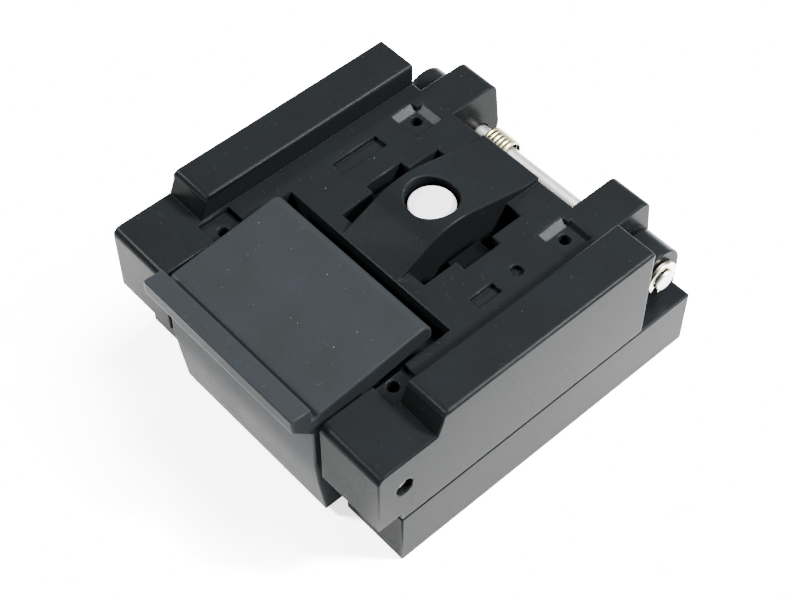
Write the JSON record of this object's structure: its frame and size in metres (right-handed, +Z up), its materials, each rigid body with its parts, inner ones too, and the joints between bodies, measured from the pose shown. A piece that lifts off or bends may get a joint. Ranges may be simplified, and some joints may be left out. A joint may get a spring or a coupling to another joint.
{
  "type": "ic test socket",
  "caption": "Clamshell test socket for a small flat chip package, with hinged lid, floating pressure pad and front latch.",
  "frame": {"origin": "under the middle of the whole part, on the board face", "axes": "+Z up from the board, +X to the right seen from the latch, +Y from the latch to the hinge"},
  "size_m": [0.0324, 0.0372, 0.0164],
  "materials": {
    "base_plastic": "matte black glass-filled plastic",
    "lid_plastic": "matte black glass-filled plastic, worn edges",
    "latch_plastic": "matte black plastic, finely scratched plate",
    "nest_plastic": "matte black plastic",
    "pad_plastic": "matte dark grey plastic",
    "block_plastic": "matte brown high-temperature plastic",
    "plunger_metal": "fine bead-blasted aluminium",
    "pin_steel": "bright drawn steel",
    "clip_steel": "bright spring steel",
    "lid_spring_steel": "pale straw-tinted spring wire",
    "spring_steel": "spring wire",
    "screw_steel": "plain steel screws",
    "gold": "gold-plated contacts",
    "brass": "machined brass"
  },
  "bodies": {
    "base": {"base_housing": "base_plastic", "contact_block": "block_plastic", "block_screws": "screw_steel", "contacts_front": "gold", "contacts_rear": "gold", "contacts_left": "gold", "contacts_right": "gold", "base_inserts": "brass", "nest_screws": "screw_steel", "nest_springs": "spring_steel", "hinge_pin": "pin_steel", "hinge_clip_left": "clip_steel", "hinge_clip_right": "clip_steel", "lid_spring": "lid_spring_steel"},
    "nest": {"nest": "nest_plastic"},
    "lid": {"lid_frame": "lid_plastic", "latch_pin": "pin_steel", "pad_springs": "spring_steel", "latch_springs": "spring_steel"},
    "pad": {"pressure_pad": "pad_plastic", "pad_plunger": "plunger_metal"},
    "latch": {"latch": "latch_plastic"}
  },
  "joints": [
    {"name": "lid_hinge", "type": "hinge", "parent": "base", "child": "lid", "pos_m": [0, 0.0161, 0.00915], "axis": [-1, 0, 0], "range_deg": [0, 100]},
    {"name": "latch_pivot", "type": "hinge", "parent": "lid", "child": "latch", "pos_m": [0, -0.01395, 0.01075], "axis": [-1, 0, 0], "range_deg": [0, 10], "stiffness_Nm_per_rad": 0.02, "springref_deg": -17.19, "deforming": ["latch_springs"]},
    {"name": "pad_float", "type": "slide", "parent": "lid", "child": "pad", "axis": [0, 0, 1], "range_m": [0, 0.0006], "stiffness_N_per_m": 500, "springref_m": -0.0015, "deforming": ["pad_springs"]},
    {"name": "nest_float", "type": "slide", "parent": "base", "child": "nest", "axis": [0, 0, -1], "range_m": [0, 0.0005], "stiffness_N_per_m": 400, "springref_m": -0.001, "deforming": ["nest_springs"]}
  ]
}
